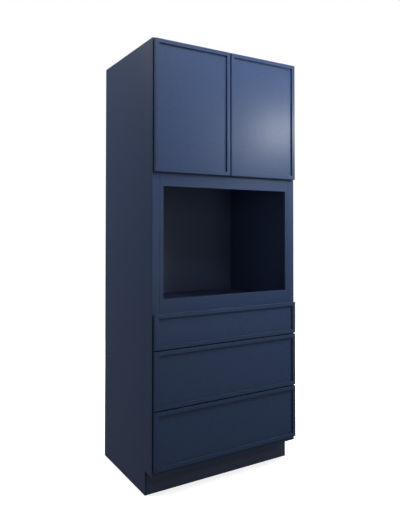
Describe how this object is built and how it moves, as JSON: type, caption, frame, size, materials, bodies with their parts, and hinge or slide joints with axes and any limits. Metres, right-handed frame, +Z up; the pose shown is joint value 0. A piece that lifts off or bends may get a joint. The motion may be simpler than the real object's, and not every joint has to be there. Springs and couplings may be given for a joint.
{
  "type": "tall oven housing unit",
  "caption": "Framed tall kitchen cabinet with an open oven bay, slim-framed drawers below and slim-framed cupboard doors above, on a recessed toe kick.",
  "frame": {"origin": "at floor level, in the middle of the overall width and depth, doors included", "axes": "+Z up; +Y towards the wall; +X to the right as one faces the doors"},
  "size_m": [0.8382, 0.6306, 2.1336],
  "materials": {
    "navy_paint": "satin navy paint on plywood, solid wood and fibreboard",
    "inside_paint": "navy paint, a little flatter than outside",
    "birch_plywood": "clear lacquered birch plywood",
    "zinc_steel": "bright zinc plated rolled steel",
    "nickel_steel": "nickel plated pressed steel"
  },
  "bodies": {
    "cabinet": {"side_panel_left": "navy_paint", "side_panel_right": "navy_paint", "top_panel": "navy_paint", "bottom_panel": "inside_paint", "oven_deck": "inside_paint", "cupboard_floor": "inside_paint", "back_panel": "navy_paint", "toe_kick_board": "navy_paint", "hanging_rail": "inside_paint", "stile_left": "navy_paint", "stile_right": "navy_paint", "bottom_rail": "navy_paint", "lower_drawer_rail": "navy_paint", "upper_drawer_rail": "navy_paint", "lower_oven_rail": "navy_paint", "upper_oven_rail": "navy_paint", "top_rail": "navy_paint", "oven_filler_left": "navy_paint", "oven_filler_right": "navy_paint", "adjustable_shelf": "inside_paint", "shelf_pin_left_front": "nickel_steel", "shelf_pin_left_back": "nickel_steel", "shelf_pin_right_front": "nickel_steel", "shelf_pin_right_back": "nickel_steel", "hinge_base_left_lower": "nickel_steel", "hinge_base_left_upper": "nickel_steel", "hinge_base_right_lower": "nickel_steel", "hinge_base_right_upper": "nickel_steel", "bottom_cabinet_runner_left": "zinc_steel", "bottom_cabinet_runner_right": "zinc_steel", "middle_cabinet_runner_left": "zinc_steel", "middle_cabinet_runner_right": "zinc_steel", "top_cabinet_runner_left": "zinc_steel", "top_cabinet_runner_right": "zinc_steel"},
    "left_door": {"left_door_frame": "navy_paint", "left_door_panel": "navy_paint", "hinge_cup_left_lower": "nickel_steel", "hinge_cup_left_upper": "nickel_steel"},
    "right_door": {"right_door_frame": "navy_paint", "right_door_panel": "navy_paint", "hinge_cup_right_lower": "nickel_steel", "hinge_cup_right_upper": "nickel_steel"},
    "bottom_drawer": {"bottom_drawer_front_frame": "navy_paint", "bottom_drawer_front_panel": "navy_paint", "bottom_drawer_box": "birch_plywood", "bottom_drawer_bottom": "birch_plywood", "bottom_drawer_runner_left": "zinc_steel", "bottom_drawer_runner_right": "zinc_steel"},
    "middle_drawer": {"middle_drawer_front_frame": "navy_paint", "middle_drawer_front_panel": "navy_paint", "middle_drawer_box": "birch_plywood", "middle_drawer_bottom": "birch_plywood", "middle_drawer_runner_left": "zinc_steel", "middle_drawer_runner_right": "zinc_steel"},
    "top_drawer": {"top_drawer_front_frame": "navy_paint", "top_drawer_front_panel": "navy_paint", "top_drawer_box": "birch_plywood", "top_drawer_bottom": "birch_plywood", "top_drawer_runner_left": "zinc_steel", "top_drawer_runner_right": "zinc_steel"}
  },
  "joints": [
    {"name": "left_door_hinge", "type": "hinge", "parent": "cabinet", "child": "left_door", "pos_m": [-0.40775, -0.3058, 1.81923], "axis": [0, 0, -1], "range_deg": [0, 110]},
    {"name": "right_door_hinge", "type": "hinge", "parent": "cabinet", "child": "right_door", "pos_m": [0.40775, -0.3058, 1.81923], "axis": [0, 0, 1], "range_deg": [0, 110]},
    {"name": "bottom_drawer_slide", "type": "slide", "parent": "cabinet", "child": "bottom_drawer", "axis": [0, -1, 0], "range_m": [0, 0.4]},
    {"name": "middle_drawer_slide", "type": "slide", "parent": "cabinet", "child": "middle_drawer", "axis": [0, -1, 0], "range_m": [0, 0.4]},
    {"name": "top_drawer_slide", "type": "slide", "parent": "cabinet", "child": "top_drawer", "axis": [0, -1, 0], "range_m": [0, 0.4]}
  ]
}
